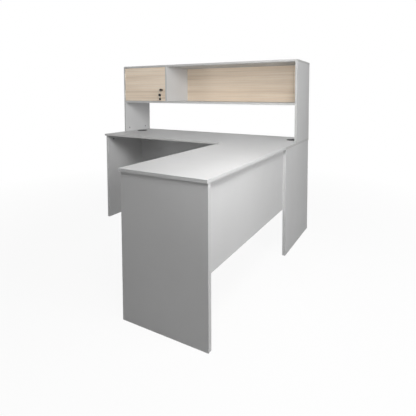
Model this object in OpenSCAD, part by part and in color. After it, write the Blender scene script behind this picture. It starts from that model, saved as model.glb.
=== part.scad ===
// L-shaped desk in laminated board with an overhead hutch.
// Frame: origin on the floor at the middle of the footprint, +Z up,
// +X along the long top, +Y toward the wall behind the hutch.

/* [Desk] */
// Length of the long top, left end to right end
desk_w = 1700; // [1500:10:1900]
// Footprint from the wall to the free end of the return
desk_d = 1500; // [1350:10:1700]
// Height of the work surface above the floor
desk_h = 750; // [700:5:780]
// Depth of the long top
main_d = 550; // [500:10:650]
// Width of the return top
return_w = 500; // [450:10:600]
// Thickness of both tops
top_t = 16; // [16:1:25]
// Thickness of the three end panels
panel_t = 22; // [18:1:28]
// Distance the end panels stand in from the ends of the tops
end_inset = 3; // [0:1:10]
// Overhang of the long top in front of its end panels
main_overhang = 15; // [5:1:40]
// Overhang of the return top in front of its end panel
return_overhang = 10; // [2:1:30]

/* [Modesty panels] */
// Thickness of the modesty panels
modesty_t = 16; // [16:1:22]
// Height of the modesty panels
modesty_h = 415; // [300:5:500]
// Distance from the wall edge of the long top to the rear modesty panel
modesty_setback = 114; // [90:1:126]
// Length of the lap of the return modesty panel on the right end panel
modesty_lap = 60; // [50:1:90]

/* [Hutch] */
// Height of the hutch above the work surface
hutch_h = 610; // [560:5:700]
// Depth of the hutch
hutch_d = 320; // [290:5:340]
// Thickness of the hutch boards
hutch_t = 16; // [16:1:19]
// Clear height between the work surface and the cabinet
bay_h = 275; // [200:5:320]
// Distance from the left end of the hutch to the middle of the divider
divider_at = 500; // [400:10:700]
// Thickness of the wood-look back panel
back_t = 16; // [16:1:19]

/* [Door] */
// Thickness of the cabinet door
door_t = 16; // [16:1:18]
// Gap round the door on its top, bottom and lock sides
door_gap = 2; // [1.5:0.5:3]
// Gap between the door and the side at the hinges
hinge_gap = 2.5; // [2.5:0.1:3]
// Distance from the lock side of the door to the lock axis
lock_inset = 37; // [34:1:38]
// Height of the lock above the lower edge of the door
lock_rise = 97; // [80:1:140]
// Height of each butt hinge
hinge_h = 50; // [40:2:60]
// Distance of each hinge from the end of the door
hinge_end = 45; // [35:1:70]

/* [Cable grommets] */
// Radius of the cable bore in the long top
bore_r = 40; // [38:1:42]
// Radius of the grommet flange
flange_r = 45; // [44:1:48]
// Distance of each bore from the end of the long top
bore_end = 80; // [76:1:120]
// Distance of each bore from the wall edge of the long top
bore_back = 175; // [172:1:180]

/* [Hidden] */
$fn = 64;

// Small overlap used only to cut cleanly through a face
cut = 1;
// Clearance round glued and screwed fasteners
seat = 0.1;

// Outer limits of the footprint
left_x = -desk_w / 2;
right_x = desk_w / 2;
wall_y = desk_d / 2;
free_y = -desk_d / 2;
// Front edge of the long top, where the return top butts against it
main_y = wall_y - main_d;
return_x = right_x - return_w;
// Underside of the tops
under_z = desk_h - top_t;

// End panels
left_in_x = left_x + end_inset + panel_t;
right_in_x = right_x - end_inset - panel_t;
panel_front_y = main_y + main_overhang;
return_panel_y = free_y + return_overhang;
return_in_y = return_panel_y + panel_t;

// Modesty panels
modesty_z = under_z - modesty_h;
modesty_back_y = wall_y - modesty_setback;
modesty_front_y = modesty_back_y - modesty_t;
lap_end_y = panel_front_y + modesty_lap;

// Hutch
hutch_y = wall_y - hutch_d;
hutch_top_z = desk_h + hutch_h - hutch_t;
shelf_z = desk_h + bay_h;
cab_z = shelf_z + hutch_t;
side_in_l = left_x + hutch_t;
side_in_r = right_x - hutch_t;
back_y = wall_y - back_t;
div_l = left_x + divider_at - hutch_t / 2;
div_r = div_l + hutch_t;

// Door
door_l = side_in_l + hinge_gap;
door_r = div_l - door_gap;
door_z0 = cab_z + door_gap;
door_z1 = hutch_top_z - door_gap;
door_back_y = hutch_y + door_t;

// Cam fittings: 15 mm housing, bolt and dowel beside it
cam_r = 7.5;
cam_deep = 12.5;
cam_edge = 34;
cam_recess = 0.3;
bolt_deep = 8;
thread_r = 2.5;
thread_len = 11;
shank_r = 3;
shank_end = 24;
neck_r = 1.6;
neck_end = 30;
head_end = 33;
head_r = 2.9;
bolt_bore_r = 3.5;
slot_half = 3.3;
cross_w = 1.4;
cross_l = 9;
cross_deep = 1.5;
dowel_r = 4;
dowel_edge = 13;
dowel_face = 11;
dowel_spare = 0.5;
dowel_step = 32;

// Distances of the fittings from the ends of each board edge
panel_end = 60;
return_end = 70;
modesty_end = 70;
foot_front = 46;
foot_rear = 65;
cab_end = 55;
back_end = 75;

// Each fitting: point on the cam board's face at the joint, direction of
// the bolt, outward normal of the cam face, side on which the dowel stands
top_fits_l = [for (y = [panel_front_y + panel_end, wall_y - panel_end])
    [[left_in_x, y, under_z], [0, 0, 1], [1, 0, 0], y < wall_y - main_d / 2 ? -1 : 1]];
top_fits_r = [for (y = [panel_front_y + panel_end + modesty_lap, wall_y - panel_end])
    [[right_in_x, y, under_z], [0, 0, 1], [-1, 0, 0], y < wall_y - main_d / 2 ? 1 : -1]];
top_fits_free = [for (x = [return_x + return_end, right_x - return_end - panel_t])
    [[x, return_in_y, under_z], [0, 0, 1], [0, 1, 0], x < right_x - return_w / 2 ? 1 : -1]];
modesty_fits_l = [for (z = [modesty_z + modesty_end, under_z - modesty_end])
    [[left_in_x, modesty_back_y, z], [-1, 0, 0], [0, 1, 0], z < under_z - modesty_h / 2 ? 1 : -1]];
modesty_fits_r = [for (z = [modesty_z + modesty_end, under_z - modesty_end])
    [[right_in_x, modesty_back_y, z], [1, 0, 0], [0, 1, 0], z < under_z - modesty_h / 2 ? -1 : 1]];
return_mod_fits = [for (z = [modesty_z + modesty_end, under_z - modesty_end])
    [[right_in_x - modesty_t, return_in_y, z], [0, -1, 0], [-1, 0, 0],
     z < under_z - modesty_h / 2 ? 1 : -1]];
foot_fits_l = [for (y = [hutch_y + foot_front, wall_y - foot_rear])
    [[side_in_l, y, desk_h], [0, 0, -1], [1, 0, 0], y < wall_y - hutch_d / 2 ? 1 : -1]];
foot_fits_r = [for (y = [hutch_y + foot_front, wall_y - foot_rear])
    [[side_in_r, y, desk_h], [0, 0, -1], [-1, 0, 0], y < wall_y - hutch_d / 2 ? -1 : 1]];
crown_fits_l = [for (y = [hutch_y + cab_end, back_y - cab_end])
    [[side_in_l, y, hutch_top_z], [0, 0, 1], [1, 0, 0], y < wall_y - hutch_d / 2 ? -1 : 1]];
crown_fits_r = [for (y = [hutch_y + cab_end, back_y - cab_end])
    [[side_in_r, y, hutch_top_z], [0, 0, 1], [-1, 0, 0], y < wall_y - hutch_d / 2 ? 1 : -1]];
shelf_fits_l = [for (y = [hutch_y + cab_end, wall_y - cab_end])
    [[side_in_l, y, shelf_z], [-1, 0, 0], [0, 0, -1], y < wall_y - hutch_d / 2 ? -1 : 1]];
shelf_fits_r = [for (y = [hutch_y + cab_end, wall_y - cab_end])
    [[side_in_r, y, shelf_z], [1, 0, 0], [0, 0, -1], y < wall_y - hutch_d / 2 ? 1 : -1]];
divider_fits_up = [for (y = [hutch_y + cab_end + dowel_step, back_y - cab_end])
    [[div_l, y, hutch_top_z], [0, 0, 1], [-1, 0, 0], y < wall_y - hutch_d / 2 ? 1 : -1]];
divider_fits_dn = [for (y = [hutch_y + cab_end + dowel_step, back_y - cab_end])
    [[div_l, y, cab_z], [0, 0, -1], [-1, 0, 0], y < wall_y - hutch_d / 2 ? -1 : 1]];
back_fits_l = [for (z = [cab_z + back_end, hutch_top_z - back_end])
    [[side_in_l, wall_y, z], [-1, 0, 0], [0, 1, 0], z < (cab_z + hutch_top_z) / 2 ? 1 : -1]];
back_fits_r = [for (z = [cab_z + back_end, hutch_top_z - back_end])
    [[side_in_r, wall_y, z], [1, 0, 0], [0, 1, 0], z < (cab_z + hutch_top_z) / 2 ? -1 : 1]];

all_fits = concat(top_fits_l, top_fits_r, top_fits_free, modesty_fits_l,
    modesty_fits_r, return_mod_fits, foot_fits_l, foot_fits_r, crown_fits_l,
    crown_fits_r, shelf_fits_l, shelf_fits_r, divider_fits_up,
    divider_fits_dn, back_fits_l, back_fits_r);

// Butt joint of the two tops: dowels in the edges, plates underneath
seam_x = [return_x + return_w / 6, right_x - return_w / 2, right_x - return_w / 6];
plate_x = [return_x + return_w / 3, right_x - return_w / 3];
plate_w = 40;
plate_l = 140;
plate_t = 2;
plate_hole_x = 12;
plate_hole_y = [-55, -25, 25, 55];
seam_dowel = 12;

// Pan-head screws
screw_r = 1.75;
screw_head_r = 3.6;
screw_head_h = 2;
plate_screw_len = 11;
lap_screw_len = 32;
lap_screw_z = [modesty_z + modesty_end, under_z - modesty_h / 2, under_z - modesty_end];
lap_screw_y = panel_front_y + modesty_lap / 2;

// Butt hinges
leaf_t = 1;
leaf_deep = 15;
knuckle_r = 2.4;
hinge_pin_r = 1.2;
pin_fit = 0.05;
knuckle_gap = 0.3;
pin_x = side_in_l + hinge_gap / 2;
pin_y = hutch_y - knuckle_r - 0.3;
hinge_zs = [door_z0 + hinge_end + hinge_h / 2, door_z1 - hinge_end - hinge_h / 2];
knuckle_h = hinge_h / 3;
leaf_screw_r = 1.4;
leaf_screw_head_r = 2.5;
leaf_screw_len = 12;
leaf_screw_z = hinge_h / 2 - 9;
leaf_screw_y = hutch_y + 9;

// Cam lock
lock_x = door_r - lock_inset;
lock_z = door_z0 + lock_rise;
housing_r = 9.4;
housing_clear = 0.2;
rim_r = 11;
rim_h = 2.5;
housing_tail = 5;
plug_r = 6.5;
plug_fit = 0.05;
nut_r = 12;
nut_h = 4;
cam_plate_t = 2;
cam_plate_w = 13;
cam_plate_l = 34;
cam_y = door_back_y + housing_tail;
slot_w = 2.6;
slot_h = 9;
slot_deep = 17;
cam_screw_r = 2;
cam_screw_head_r = 4;
cam_screw_head_h = 2.5;
rim_y = hutch_y - rim_h;

// Keys: flat head with a hole, straight blade moulded into it
blade_t = 2;
blade_w = 8;
blade_in = 15;
blade_out = 5;
blade_root = 5;
key_head_r = 12;
key_head_t = 2.8;
key_hole_off = 6;
key_hole_r = 3;
key_head_y = rim_y - blade_out - key_head_r;
key_hole_y = key_head_y - key_hole_off;
wire_r = 0.9;
ring_r = 17;
hang_gap = 0.3;
ring_hang = key_hole_r - wire_r - hang_gap;
ring_top_z = lock_z - ring_hang;
ring_low_z = ring_top_z - 2 * ring_r;
// The two hanging pieces sit side by side where the wire climbs a little,
// and hang turned about the vertical
hang_side = 1.8;
hang_turn = 30;
set_hang = ring_hang - 0.9;
set_hole_z = ring_low_z - set_hang;
spare_x = lock_x - hang_side;
spare_head_z = set_hole_z - key_hole_off;
spare_blade_l = 26;
tag_x = lock_x + hang_side;
tag_t = 1.8;
tag_w = 6;
tag_l = 43;
tag_r = 10;
tag_top_r = 5;

// Strike angle behind the door and its bumper
strike_t = 1.5;
strike_h = 30;
strike_gap = 3;
strike_reach = 12;
strike_leg = 24;
strike_y = door_back_y + strike_gap;
strike_screw_len = 11;
bumper_r = 4;
bumper_h = 2.7;

// Grommets
liner_r = 39.8;
liner_in_r = 37.4;
ledge_r = 34;
ledge_drop = 3;
ledge_t = 2;
flange_h = 2.5;
liner_deep = 15;
cap_gap = 0.3;
cap_r = liner_in_r - cap_gap;
cap_t = 2.8;
notch_w = 26;
notch_deep = 20;
bore_xs = [left_x + bore_end, right_x - bore_end];
bore_y = wall_y - bore_back;

// Places children in the frame of one cam fitting
module at_fit(f) {
    c = cross(f[2], f[1]);
    multmatrix([[c[0], f[2][0], f[1][0], f[0][0]],
                [c[1], f[2][1], f[1][1], f[0][1]],
                [c[2], f[2][2], f[1][2], f[0][2]],
                [0, 0, 0, 1]]) children();
}

// Cuts of a fitting in the board that holds the cam
module cam_board_cuts(fits) {
    for (f = fits) at_fit(f) {
        translate([0, cut, -cam_edge]) rotate([90, 0, 0])
            cylinder(h = cam_deep + cut, r = cam_r + seat);
        translate([0, -bolt_deep, -cam_edge])
            cylinder(h = cam_edge + cut, r = bolt_bore_r);
        translate([f[3] * dowel_step, -bolt_deep, -dowel_edge - dowel_spare])
            cylinder(h = dowel_edge + dowel_spare + cut, r = dowel_r + seat);
    }
}

// Cuts of a fitting in the board that the bolt screws into
module bolt_board_cuts(fits) {
    for (f = fits) at_fit(f) {
        translate([0, -bolt_deep, -cut])
            cylinder(h = thread_len + dowel_spare + cut, r = thread_r + seat);
        translate([f[3] * dowel_step, -bolt_deep, -cut])
            cylinder(h = dowel_face + dowel_spare + cut, r = dowel_r + seat);
    }
}

module cam_housing_shape() {
    difference() {
        translate([0, -cam_recess, -cam_edge]) rotate([90, 0, 0])
            cylinder(h = cam_deep - 2 * cam_recess, r = cam_r);
        translate([-slot_half, -bolt_deep - slot_half, -cam_edge - 1])
            cube([2 * slot_half, 2 * slot_half, cam_r + 2]);
        translate([-cross_w / 2, -cam_recess - cross_deep, -cam_edge - cross_l / 2])
            cube([cross_w, cross_deep + cut, cross_l]);
        translate([-cross_l / 2, -cam_recess - cross_deep, -cam_edge - cross_w / 2])
            cube([cross_l, cross_deep + cut, cross_w]);
    }
}

module cam_bolt_shape() {
    translate([0, -bolt_deep, 0]) {
        cylinder(h = thread_len, r = thread_r);
        translate([0, 0, -shank_end]) cylinder(h = shank_end, r = shank_r);
        translate([0, 0, -neck_end]) cylinder(h = neck_end - shank_end, r = neck_r);
        translate([0, 0, -head_end]) cylinder(h = head_end - neck_end, r = head_r);
    }
}

module pan_screw(len) {
    translate([0, 0, -len]) cylinder(h = len, r = screw_r);
    cylinder(h = screw_head_h, r = screw_head_r);
}

module pan_screw_hole(len) {
    translate([0, 0, -len - dowel_spare]) cylinder(h = len + dowel_spare + cut, r = screw_r + seat);
}

// Desk boards
module main_top() {
    color("gainsboro") difference() {
        translate([left_x, main_y, under_z]) cube([desk_w, main_d, top_t]);
        for (x = bore_xs) translate([x, bore_y, under_z - cut])
            cylinder(h = top_t + 2 * cut, r = bore_r);
        bolt_board_cuts(concat(top_fits_l, top_fits_r, foot_fits_l, foot_fits_r));
        for (x = seam_x) translate([x, main_y - cut, desk_h - top_t / 2]) rotate([-90, 0, 0])
            cylinder(h = seam_dowel + dowel_spare + cut, r = dowel_r + seat);
        plate_screw_holes([for (y = plate_hole_y) if (y > 0) y]);
    }
}

module return_top() {
    color("gainsboro") difference() {
        translate([return_x, free_y, under_z]) cube([return_w, desk_d - main_d, top_t]);
        bolt_board_cuts(top_fits_free);
        for (x = seam_x) translate([x, main_y + cut, desk_h - top_t / 2]) rotate([90, 0, 0])
            cylinder(h = seam_dowel + dowel_spare + cut, r = dowel_r + seat);
        plate_screw_holes([for (y = plate_hole_y) if (y < 0) y]);
    }
}

module left_end_panel() {
    color("lightgray") difference() {
        translate([left_x + end_inset, panel_front_y, 0])
            cube([panel_t, wall_y - panel_front_y, under_z]);
        cam_board_cuts(top_fits_l);
        bolt_board_cuts(modesty_fits_l);
    }
}

module right_end_panel() {
    color("lightgray") difference() {
        translate([right_in_x, panel_front_y, 0])
            cube([panel_t, wall_y - panel_front_y, under_z]);
        cam_board_cuts(top_fits_r);
        bolt_board_cuts(modesty_fits_r);
        for (z = lap_screw_z) lap_screw_at(z) pan_screw_hole(lap_screw_len);
    }
}

module return_end_panel() {
    color("lightgray") difference() {
        translate([return_x + end_inset, return_panel_y, 0])
            cube([return_w - 2 * end_inset, panel_t, under_z]);
        cam_board_cuts(top_fits_free);
        bolt_board_cuts(return_mod_fits);
    }
}

module main_modesty_panel() {
    color("silver") difference() {
        translate([left_in_x, modesty_front_y, modesty_z])
            cube([right_in_x - left_in_x, modesty_t, modesty_h]);
        cam_board_cuts(concat(modesty_fits_l, modesty_fits_r));
    }
}

module return_modesty_panel() {
    color("silver") difference() {
        translate([right_in_x - modesty_t, return_in_y, modesty_z])
            cube([modesty_t, lap_end_y - return_in_y, modesty_h]);
        cam_board_cuts(return_mod_fits);
        for (z = lap_screw_z) lap_screw_at(z) pan_screw_hole(lap_screw_len);
    }
}

// Hutch boards
module hutch_left_side() {
    color("gainsboro") difference() {
        translate([left_x, hutch_y, desk_h]) cube([hutch_t, hutch_d, hutch_top_z - desk_h]);
        cam_board_cuts(concat(foot_fits_l, crown_fits_l));
        bolt_board_cuts(concat(shelf_fits_l, back_fits_l));
        for (z = hinge_zs) side_leaf_screws(z) leaf_screw_hole();
    }
}

module hutch_right_side() {
    color("gainsboro") difference() {
        translate([side_in_r, hutch_y, desk_h]) cube([hutch_t, hutch_d, hutch_top_z - desk_h]);
        cam_board_cuts(concat(foot_fits_r, crown_fits_r));
        bolt_board_cuts(concat(shelf_fits_r, back_fits_r));
    }
}

module hutch_top() {
    color("gainsboro") difference() {
        translate([left_x, hutch_y, hutch_top_z]) cube([desk_w, hutch_d, hutch_t]);
        bolt_board_cuts(concat(crown_fits_l, crown_fits_r, divider_fits_up));
    }
}

module hutch_bottom() {
    color("gainsboro") difference() {
        translate([side_in_l, hutch_y, shelf_z])
            cube([side_in_r - side_in_l, hutch_d, hutch_t]);
        cam_board_cuts(concat(shelf_fits_l, shelf_fits_r));
        bolt_board_cuts(divider_fits_dn);
    }
}

module hutch_divider() {
    color("gainsboro") difference() {
        translate([div_l, hutch_y, cab_z])
            cube([hutch_t, back_y - hutch_y, hutch_top_z - cab_z]);
        cam_board_cuts(concat(divider_fits_up, divider_fits_dn));
        strike_screws_at() pan_screw_hole(strike_screw_len + strike_t);
    }
}

module hutch_back() {
    color("burlywood") difference() {
        translate([side_in_l, back_y, cab_z])
            cube([side_in_r - side_in_l, back_t, hutch_top_z - cab_z]);
        cam_board_cuts(concat(back_fits_l, back_fits_r));
    }
}

module cabinet_door() {
    color("burlywood") difference() {
        translate([door_l, hutch_y, door_z0])
            cube([door_r - door_l, door_t, door_z1 - door_z0]);
        translate([lock_x, hutch_y - cut, lock_z]) rotate([-90, 0, 0])
            cylinder(h = door_t + 2 * cut, r = housing_r + housing_clear);
        for (z = hinge_zs) door_leaf_screws(z) leaf_screw_hole();
    }
}

// Fasteners
module cam_housings() {
    color("dimgray") for (f = all_fits) at_fit(f) cam_housing_shape();
}

module cam_bolts() {
    color("slategray") for (f = all_fits) at_fit(f) cam_bolt_shape();
}

module dowels() {
    color("tan") {
        for (f = all_fits) at_fit(f)
            translate([f[3] * dowel_step, -bolt_deep, -dowel_edge])
                cylinder(h = dowel_edge + dowel_face, r = dowel_r);
        for (x = seam_x) translate([x, main_y - seam_dowel, desk_h - top_t / 2])
            rotate([-90, 0, 0]) cylinder(h = 2 * seam_dowel, r = dowel_r);
    }
}

module plate_screws_at(ys) {
    for (x = plate_x, dx = [-plate_hole_x, plate_hole_x], y = ys)
        translate([x + dx, main_y + y, under_z - plate_t]) rotate([180, 0, 0]) children();
}

module plate_screw_holes(ys) {
    plate_screws_at(ys) pan_screw_hole(plate_screw_len + plate_t);
}

module joining_plates() {
    color("lightsteelblue") difference() {
        for (x = plate_x) translate([x - plate_w / 2, main_y - plate_l / 2, under_z - plate_t])
            cube([plate_w, plate_l, plate_t]);
        plate_screw_holes(plate_hole_y);
    }
}

module plate_screws() {
    color("gray") plate_screws_at(plate_hole_y) pan_screw(plate_screw_len + plate_t);
}

module lap_screw_at(z) {
    translate([right_in_x - modesty_t, lap_screw_y, z]) rotate([0, -90, 0]) children();
}

module lap_screws() {
    color("gray") for (z = lap_screw_z) lap_screw_at(z) pan_screw(lap_screw_len);
}

// Butt hinges of the door
module leaf_screw_hole() {
    translate([0, 0, -leaf_screw_len - dowel_spare])
        cylinder(h = leaf_screw_len + dowel_spare + cut, r = leaf_screw_r + seat);
}

module leaf_screw() {
    translate([0, 0, -leaf_screw_len]) cylinder(h = leaf_screw_len, r = leaf_screw_r);
    translate([0, 0, -leaf_t]) cylinder(h = leaf_t, r1 = leaf_screw_r, r2 = leaf_screw_head_r);
}

module leaf_screw_sink() {
    leaf_screw_hole();
    translate([0, 0, -leaf_t]) cylinder(h = leaf_t, r1 = leaf_screw_r + seat,
        r2 = leaf_screw_head_r + seat);
    cylinder(h = cut, r = leaf_screw_head_r + seat);
}

module side_leaf_screws(z) {
    for (dz = [-leaf_screw_z, leaf_screw_z])
        translate([side_in_l + leaf_t, leaf_screw_y, z + dz]) rotate([0, 90, 0]) children();
}

module door_leaf_screws(z) {
    for (dz = [-leaf_screw_z, leaf_screw_z])
        translate([door_l - leaf_t, leaf_screw_y, z + dz]) rotate([0, -90, 0]) children();
}

// Space left for the other leaf's knuckle
module knuckle_relief(z, h) {
    translate([pin_x, pin_y, z - knuckle_gap])
        cylinder(h = h + 2 * knuckle_gap, r = knuckle_r + knuckle_gap);
}

module hinge_side_leaves() {
    color("silver") for (z = hinge_zs) difference() {
        union() {
            translate([side_in_l, pin_y, z - hinge_h / 2])
                cube([leaf_t, hutch_y + leaf_deep - pin_y, hinge_h]);
            for (z0 = [z - hinge_h / 2, z + knuckle_h / 2])
                translate([pin_x, pin_y, z0]) cylinder(h = knuckle_h, r = knuckle_r);
        }
        knuckle_relief(z - knuckle_h / 2, knuckle_h);
        translate([pin_x, pin_y, z - hinge_h / 2 - cut])
            cylinder(h = hinge_h + 2 * cut, r = hinge_pin_r + pin_fit);
        side_leaf_screws(z) leaf_screw_sink();
    }
}

module hinge_door_leaves() {
    color("silver") for (z = hinge_zs) difference() {
        union() {
            translate([door_l - leaf_t, pin_y, z - hinge_h / 2])
                cube([leaf_t, hutch_y + leaf_deep - pin_y, hinge_h]);
            translate([pin_x, pin_y, z - knuckle_h / 2 + knuckle_gap])
                cylinder(h = knuckle_h - 2 * knuckle_gap, r = knuckle_r);
        }
        knuckle_relief(z - hinge_h / 2 - knuckle_gap, knuckle_h + knuckle_gap);
        knuckle_relief(z + knuckle_h / 2, knuckle_h + knuckle_gap);
        translate([pin_x, pin_y, z - hinge_h / 2 - cut])
            cylinder(h = hinge_h + 2 * cut, r = hinge_pin_r + pin_fit);
        door_leaf_screws(z) leaf_screw_sink();
    }
}

module hinge_pins() {
    color("gray") for (z = hinge_zs) {
        translate([pin_x, pin_y, z - hinge_h / 2]) cylinder(h = hinge_h, r = hinge_pin_r);
        translate([pin_x, pin_y, z + hinge_h / 2]) cylinder(h = 1, r = hinge_pin_r + 0.6);
    }
}

module hinge_side_screws() {
    color("gray") for (z = hinge_zs) side_leaf_screws(z) leaf_screw();
}

module hinge_door_screws() {
    color("gray") for (z = hinge_zs) door_leaf_screws(z) leaf_screw();
}

// Cam lock, all on one axis along Y
module on_lock(y) {
    translate([lock_x, y, lock_z]) rotate([-90, 0, 0]) children();
}

module lock_housing() {
    color("silver") difference() {
        union() {
            on_lock(rim_y) cylinder(h = rim_h, r = rim_r);
            on_lock(hutch_y) cylinder(h = door_t + housing_tail, r = housing_r);
        }
        on_lock(rim_y - cut)
            cylinder(h = rim_h + door_t + housing_tail + 2 * cut, r = plug_r + plug_fit);
    }
}

module lock_nut() {
    color("gray") difference() {
        on_lock(door_back_y) cylinder(h = nut_h, r = nut_r, $fn = 6);
        on_lock(door_back_y - cut) cylinder(h = nut_h + 2 * cut, r = housing_r + seat);
    }
}

module lock_plug() {
    color("silver") difference() {
        on_lock(rim_y + 0.3) cylinder(h = cam_y - rim_y - 0.3, r = plug_r);
        translate([lock_x - slot_w / 2, rim_y - cut, lock_z - slot_h / 2])
            cube([slot_w, slot_deep + cut, slot_h]);
        on_lock(cam_y - 4) cylinder(h = 4 + cut, r = cam_screw_r + seat);
    }
}

module lock_cam() {
    color("lightsteelblue") difference() {
        union() {
            on_lock(cam_y) cylinder(h = cam_plate_t, r = cam_plate_w / 2);
            translate([lock_x - cam_plate_w / 2, cam_y, lock_z - cam_plate_l])
                cube([cam_plate_w, cam_plate_t, cam_plate_l]);
        }
        on_lock(cam_y - cut) cylinder(h = cam_plate_t + 2 * cut, r = cam_screw_r + seat);
    }
}

module cam_screw() {
    color("gray") {
        on_lock(cam_y - 3.5) cylinder(h = 3.5 + cam_plate_t, r = cam_screw_r);
        on_lock(cam_y + cam_plate_t) cylinder(h = cam_screw_head_h, r = cam_screw_head_r);
    }
}

// Keys
module key_head_shape(x) {
    translate([x - key_head_t / 2, 0, 0]) rotate([0, 90, 0])
        cylinder(h = key_head_t, r = key_head_r);
}

module key_hole(x, y, z) {
    translate([x - key_head_t, y, z]) rotate([0, 90, 0])
        cylinder(h = 2 * key_head_t, r = key_hole_r);
}

module inserted_blade_shape() {
    translate([lock_x - blade_t / 2, rim_y - blade_out - blade_root, lock_z - blade_w / 2])
        cube([blade_t, blade_root + blade_out + blade_in, blade_w]);
}

module inserted_key_blade() {
    color("lightgray") inserted_blade_shape();
}

module inserted_key_head() {
    color("black") difference() {
        translate([0, key_head_y, lock_z]) key_head_shape(lock_x);
        key_hole(lock_x, key_hole_y, lock_z);
        inserted_blade_shape();
    }
}

module key_ring() {
    color("silver") translate([lock_x, key_hole_y, ring_top_z - ring_r]) rotate([90, 0, 0])
        rotate_extrude() translate([ring_r, 0]) circle(r = wire_r, $fn = 24);
}

// Hangs a flat piece, drawn across the X axis, on the ring at x
module hung(x) {
    translate([x, key_hole_y, 0]) rotate([0, 0, -hang_turn]) children();
}

module spare_blade_shape() {
    translate([-blade_t / 2, -blade_w / 2, spare_head_z - key_head_r - spare_blade_l])
        cube([blade_t, blade_w, spare_blade_l + blade_root]);
}

module spare_key_blade() {
    color("lightgray") hung(spare_x) spare_blade_shape();
}

module spare_key_head() {
    color("black") hung(spare_x) difference() {
        translate([0, 0, spare_head_z]) key_head_shape(0);
        key_hole(0, 0, set_hole_z);
        spare_blade_shape();
    }
}

module key_tag() {
    color("black") hung(tag_x) difference() {
        union() {
            translate([-tag_t / 2, 0, set_hole_z]) rotate([0, 90, 0])
                cylinder(h = tag_t, r = tag_top_r);
            translate([-tag_t / 2, -tag_w / 2, set_hole_z - tag_l])
                cube([tag_t, tag_w, tag_l]);
            translate([-tag_t / 2, 0, set_hole_z - tag_l]) rotate([0, 90, 0])
                cylinder(h = tag_t, r = tag_r);
        }
        key_hole(0, 0, set_hole_z);
    }
}

// Strike angle on the divider, which the lock cam turns behind
module strike_screws_at() {
    for (dz = [-strike_h / 4, strike_h / 4])
        translate([div_l - strike_t, strike_y + strike_leg / 2 + strike_t, lock_z + dz])
            rotate([0, -90, 0]) children();
}

module lock_strike() {
    color("lightsteelblue") difference() {
        union() {
            translate([div_l - strike_t, strike_y, lock_z - strike_h / 2])
                cube([strike_t, strike_leg, strike_h]);
            translate([div_l - strike_reach, strike_y, lock_z - strike_h / 2])
                cube([strike_reach, strike_t, strike_h]);
        }
        strike_screws_at() pan_screw_hole(strike_screw_len + strike_t);
    }
}

module strike_screws() {
    color("gray") strike_screws_at() pan_screw(strike_screw_len + strike_t);
}

module door_bumper() {
    color("ivory")
        translate([div_l - strike_reach / 2, strike_y - bumper_h, lock_z + strike_h / 4])
            rotate([-90, 0, 0]) cylinder(h = bumper_h, r = bumper_r);
}

// Cable grommets
module grommet_liner(x) {
    color("black") translate([x, bore_y, 0]) difference() {
        union() {
            translate([0, 0, desk_h]) cylinder(h = flange_h, r = flange_r);
            translate([0, 0, desk_h - liner_deep]) cylinder(h = liner_deep + cut, r = liner_r);
        }
        translate([0, 0, desk_h - liner_deep - cut])
            cylinder(h = liner_deep + flange_h + 2 * cut, r = ledge_r);
        translate([0, 0, desk_h + flange_h - ledge_drop])
            cylinder(h = ledge_drop + cut, r = liner_in_r);
        translate([0, 0, desk_h - liner_deep - cut])
            cylinder(h = liner_deep + flange_h - ledge_drop - ledge_t + cut, r = liner_in_r);
    }
}

module grommet_cap(x) {
    color("dimgray") translate([x, bore_y, desk_h + flange_h - ledge_drop]) difference() {
        cylinder(h = cap_t, r = cap_r);
        translate([-notch_w / 2, cap_r - notch_deep, -cut])
            cube([notch_w, notch_deep + cut, cap_t + 2 * cut]);
    }
}

module grommet_liner_left() {
    grommet_liner(bore_xs[0]);
}

module grommet_liner_right() {
    grommet_liner(bore_xs[1]);
}

module grommet_cap_left() {
    grommet_cap(bore_xs[0]);
}

module grommet_cap_right() {
    grommet_cap(bore_xs[1]);
}

main_top();
return_top();
left_end_panel();
right_end_panel();
return_end_panel();
main_modesty_panel();
return_modesty_panel();
hutch_left_side();
hutch_right_side();
hutch_top();
hutch_bottom();
hutch_divider();
hutch_back();
cabinet_door();
cam_housings();
cam_bolts();
dowels();
joining_plates();
plate_screws();
lap_screws();
hinge_side_leaves();
hinge_door_leaves();
hinge_pins();
hinge_side_screws();
hinge_door_screws();
lock_housing();
lock_nut();
lock_plug();
lock_cam();
cam_screw();
inserted_key_blade();
inserted_key_head();
key_ring();
spare_key_blade();
spare_key_head();
key_tag();
lock_strike();
strike_screws();
door_bumper();
grommet_liner_left();
grommet_liner_right();
grommet_cap_left();
grommet_cap_right();
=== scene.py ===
import math

import bpy
from mathutils import Matrix, Vector


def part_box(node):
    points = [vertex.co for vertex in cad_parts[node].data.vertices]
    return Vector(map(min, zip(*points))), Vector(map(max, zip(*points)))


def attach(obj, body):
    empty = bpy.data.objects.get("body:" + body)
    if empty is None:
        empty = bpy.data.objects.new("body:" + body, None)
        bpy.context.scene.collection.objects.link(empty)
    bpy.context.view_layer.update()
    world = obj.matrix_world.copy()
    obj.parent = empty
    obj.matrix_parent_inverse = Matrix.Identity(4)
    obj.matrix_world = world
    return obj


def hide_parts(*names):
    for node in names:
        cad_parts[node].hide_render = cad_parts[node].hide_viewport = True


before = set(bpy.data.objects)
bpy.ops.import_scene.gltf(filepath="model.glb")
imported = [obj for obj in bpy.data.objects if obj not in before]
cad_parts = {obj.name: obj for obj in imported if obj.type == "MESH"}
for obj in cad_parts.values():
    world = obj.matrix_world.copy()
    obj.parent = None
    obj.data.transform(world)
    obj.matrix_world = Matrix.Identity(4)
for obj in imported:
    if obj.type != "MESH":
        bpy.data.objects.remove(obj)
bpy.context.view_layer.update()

MM = 0.001
X, Y, Z = 0, 1, 2
AXES = (Vector((1, 0, 0)), Vector((0, 1, 0)), Vector((0, 0, 1)))
QUARTER = math.pi / 2
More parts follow.
